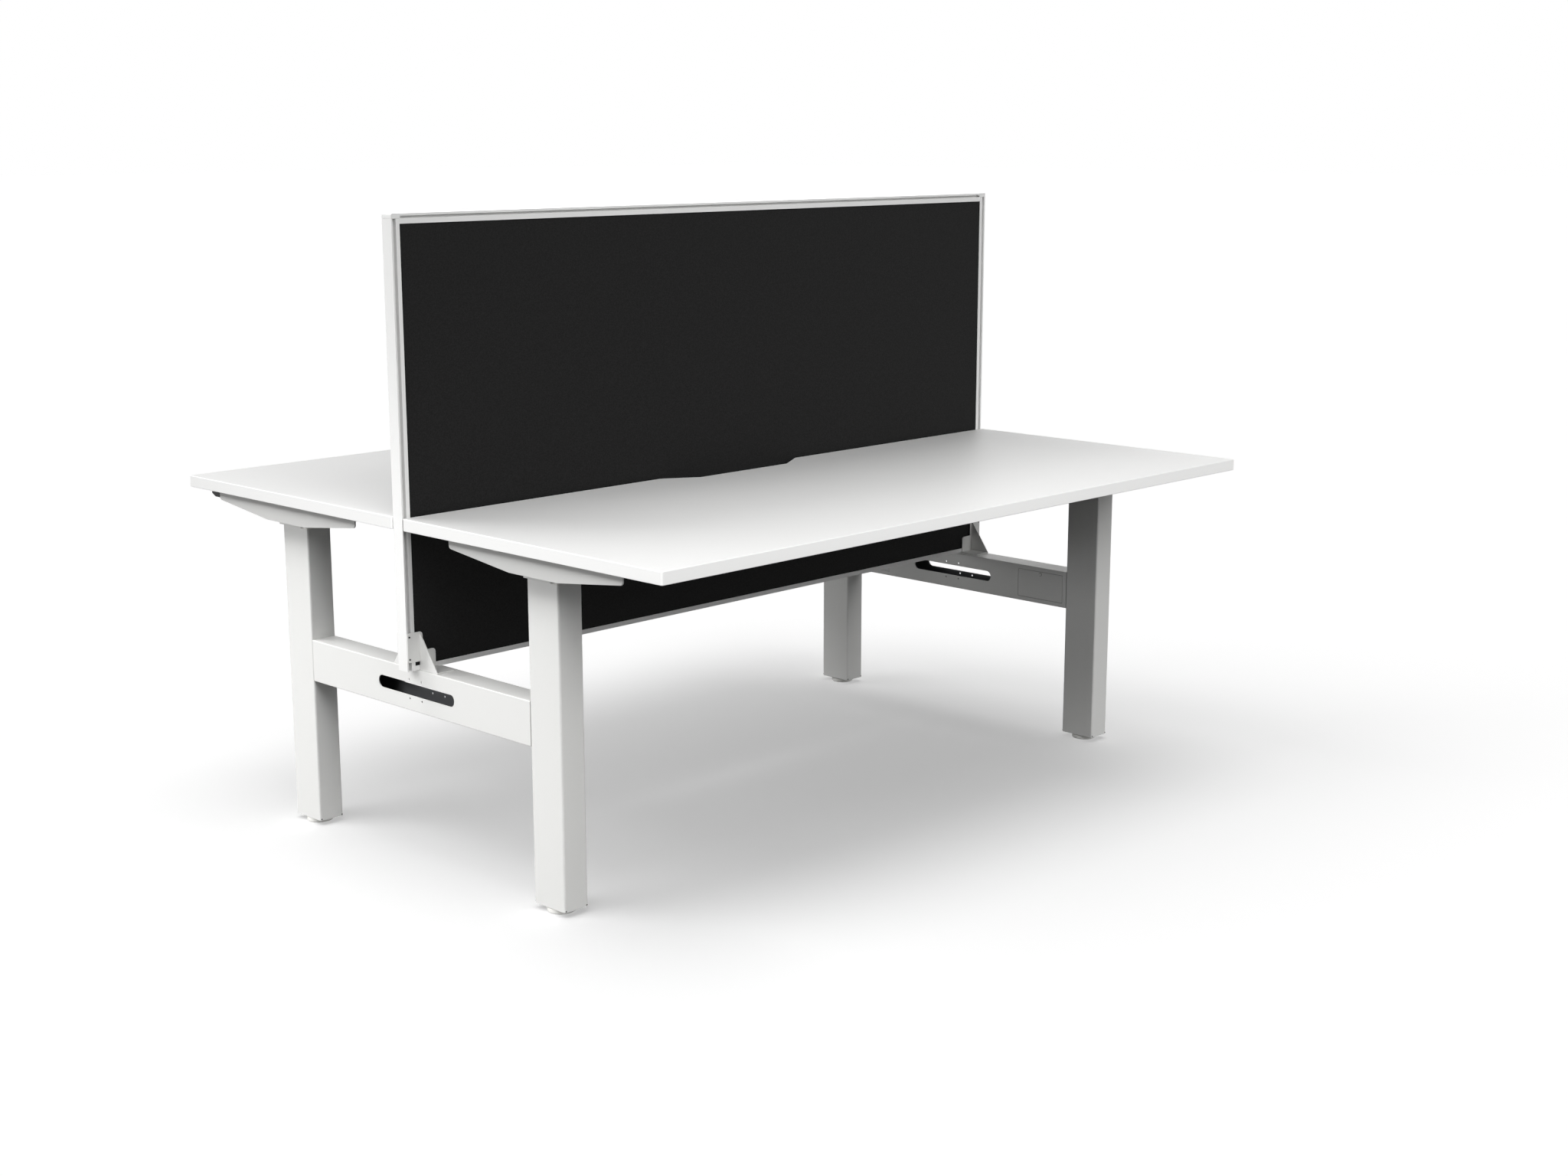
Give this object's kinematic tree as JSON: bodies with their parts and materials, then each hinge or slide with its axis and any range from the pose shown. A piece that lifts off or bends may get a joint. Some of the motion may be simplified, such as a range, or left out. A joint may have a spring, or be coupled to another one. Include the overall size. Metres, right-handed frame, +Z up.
{
  "type": "back-to-back sit-stand bench desk",
  "caption": "Back-to-back pair of electric height-adjustable desks on H-shaped end frames, with telescopic legs and a fabric screen standing on the end beams between the desktops.",
  "frame": {"origin": "on the floor, under the middle of the desk", "axes": "+X along the desktops, towards the near user's right; +Y from the near user to the far user; +Z up"},
  "size_m": [1.8, 1.527, 1.3122],
  "materials": {
    "white_board": "white melamine on particle board, fine matt texture",
    "white_steel": "white powder coat, satin",
    "white_frame": "white powder-coated extrusion, satin",
    "black_fabric": "black woven upholstery fabric, matt",
    "black_plastic": "moulded, fine texture",
    "grey_plastic": "moulded, satin",
    "white_plastic": "moulded, satin",
    "bar_steel": "rolled thread, lightly oiled",
    "zinc_steel": "zinc plated"
  },
  "bodies": {
    "frame": {"end_beam_left": "white_steel", "end_beam_right": "white_steel", "screen_post_left": "white_frame", "screen_post_right": "white_frame", "screen_top_rail": "white_frame", "screen_bottom_rail": "white_frame", "screen_panel": "black_fabric", "outer_leg_near_left": "white_steel", "outer_leg_near_right": "white_steel", "outer_leg_far_left": "white_steel", "outer_leg_far_right": "white_steel", "guide_collar_near_left": "white_plastic", "guide_collar_near_right": "white_plastic", "guide_collar_far_left": "white_plastic", "guide_collar_far_right": "white_plastic", "nut_post_near_left": "zinc_steel", "nut_post_near_right": "zinc_steel", "nut_post_far_left": "zinc_steel", "nut_post_far_right": "zinc_steel", "screen_bracket_near_left": "white_steel", "screen_bracket_near_right": "white_steel", "screen_bracket_far_left": "white_steel", "screen_bracket_far_right": "white_steel"},
    "near_desk": {"desktop_near": "white_board", "crossbar_near": "white_steel", "control_box_near": "black_plastic", "handset_near": "black_plastic", "inner_leg_near_left": "white_steel", "inner_leg_near_right": "white_steel", "support_arm_near_left": "white_steel", "support_arm_near_right": "white_steel", "motor_gearbox_near_left": "zinc_steel", "motor_gearbox_near_right": "zinc_steel"},
    "far_desk": {"desktop_far": "white_board", "crossbar_far": "white_steel", "control_box_far": "black_plastic", "handset_far": "black_plastic", "inner_leg_far_left": "white_steel", "inner_leg_far_right": "white_steel", "support_arm_far_left": "white_steel", "support_arm_far_right": "white_steel", "motor_gearbox_far_left": "zinc_steel", "motor_gearbox_far_right": "zinc_steel"},
    "screw_near_left": {"lead_screw_near_left": "bar_steel"},
    "screw_near_right": {"lead_screw_near_right": "bar_steel"},
    "screw_far_left": {"lead_screw_far_left": "bar_steel"},
    "screw_far_right": {"lead_screw_far_right": "bar_steel"},
    "foot_near_left": {"levelling_foot_near_left": "white_plastic"},
    "foot_near_right": {"levelling_foot_near_right": "white_plastic"},
    "foot_far_left": {"levelling_foot_far_left": "white_plastic"},
    "foot_far_right": {"levelling_foot_far_right": "white_plastic"},
    "cover_near_left": {"access_cover_near_left": "white_steel"},
    "cover_near_right": {"access_cover_near_right": "white_steel"},
    "cover_far_left": {"access_cover_far_left": "white_steel"},
    "cover_far_right": {"access_cover_far_right": "white_steel"},
    "near_down_key": {"down_button_near": "grey_plastic"},
    "near_up_key": {"up_button_near": "grey_plastic"},
    "far_down_key": {"down_button_far": "grey_plastic"},
    "far_up_key": {"up_button_far": "grey_plastic"}
  },
  "joints": [
    {"name": "near_lift", "type": "slide", "parent": "frame", "child": "near_desk", "axis": [0, 0, 1], "range_m": [0, 0.48]},
    {"name": "far_lift", "type": "slide", "parent": "frame", "child": "far_desk", "axis": [0, 0, 1], "range_m": [0, 0.48]},
    {"name": "screw_turn_near_left", "type": "hinge", "parent": "near_desk", "child": "screw_near_left", "pos_m": [-0.841, -0.404, 0.4], "axis": [0, 0, 1], "continuous": true},
    {"name": "screw_turn_near_right", "type": "hinge", "parent": "near_desk", "child": "screw_near_right", "pos_m": [0.841, -0.404, 0.4], "axis": [0, 0, 1], "continuous": true},
    {"name": "screw_turn_far_left", "type": "hinge", "parent": "far_desk", "child": "screw_far_left", "pos_m": [-0.841, 0.404, 0.4], "axis": [0, 0, 1], "continuous": true},
    {"name": "screw_turn_far_right", "type": "hinge", "parent": "far_desk", "child": "screw_far_right", "pos_m": [0.841, 0.404, 0.4], "axis": [0, 0, 1], "continuous": true},
    {"name": "foot_turn_near_left", "type": "hinge", "parent": "frame", "child": "foot_near_left", "pos_m": [-0.841, -0.404, 0], "axis": [0, 0, 1], "continuous": true},
    {"name": "foot_turn_near_right", "type": "hinge", "parent": "frame", "child": "foot_near_right", "pos_m": [0.841, -0.404, 0], "axis": [0, 0, 1], "continuous": true},
    {"name": "foot_turn_far_left", "type": "hinge", "parent": "frame", "child": "foot_far_left", "pos_m": [-0.841, 0.404, 0], "axis": [0, 0, 1], "continuous": true},
    {"name": "foot_turn_far_right", "type": "hinge", "parent": "frame", "child": "foot_far_right", "pos_m": [0.841, 0.404, 0], "axis": [0, 0, 1], "continuous": true},
    {"name": "cover_tilt_near_left", "type": "hinge", "parent": "frame", "child": "cover_near_left", "pos_m": [-0.812, -0.2803, 0.333], "axis": [0, 1, 0], "range_deg": [0, 90]},
    {"name": "cover_tilt_near_right", "type": "hinge", "parent": "frame", "child": "cover_near_right", "pos_m": [0.812, -0.2803, 0.333], "axis": [0, -1, 0], "range_deg": [0, 90]},
    {"name": "cover_tilt_far_left", "type": "hinge", "parent": "frame", "child": "cover_far_left", "pos_m": [-0.812, 0.2803, 0.333], "axis": [0, 1, 0], "range_deg": [0, 90]},
    {"name": "cover_tilt_far_right", "type": "hinge", "parent": "frame", "child": "cover_far_right", "pos_m": [0.812, 0.2803, 0.333], "axis": [0, -1, 0], "range_deg": [0, 90]},
    {"name": "near_down_press", "type": "slide", "parent": "near_desk", "child": "near_down_key", "axis": [0, 0.4472, 0.8944], "range_m": [0, 0.0012], "stiffness_N_per_m": 2000},
    {"name": "near_up_press", "type": "slide", "parent": "near_desk", "child": "near_up_key", "axis": [0, 0.4472, 0.8944], "range_m": [0, 0.0012], "stiffness_N_per_m": 2000},
    {"name": "far_down_press", "type": "slide", "parent": "far_desk", "child": "far_down_key", "axis": [0, -0.4472, 0.8944], "range_m": [0, 0.0012], "stiffness_N_per_m": 2000},
    {"name": "far_up_press", "type": "slide", "parent": "far_desk", "child": "far_up_key", "axis": [0, -0.4472, 0.8944], "range_m": [0, 0.0012], "stiffness_N_per_m": 2000}
  ],
  "couplings": [
    {"joint": "screw_turn_near_left", "follows": "near_lift", "rad_per_m": 785.4},
    {"joint": "screw_turn_near_right", "follows": "near_lift", "rad_per_m": 785.4},
    {"joint": "screw_turn_far_left", "follows": "far_lift", "rad_per_m": 785.4},
    {"joint": "screw_turn_far_right", "follows": "far_lift", "rad_per_m": 785.4}
  ]
}
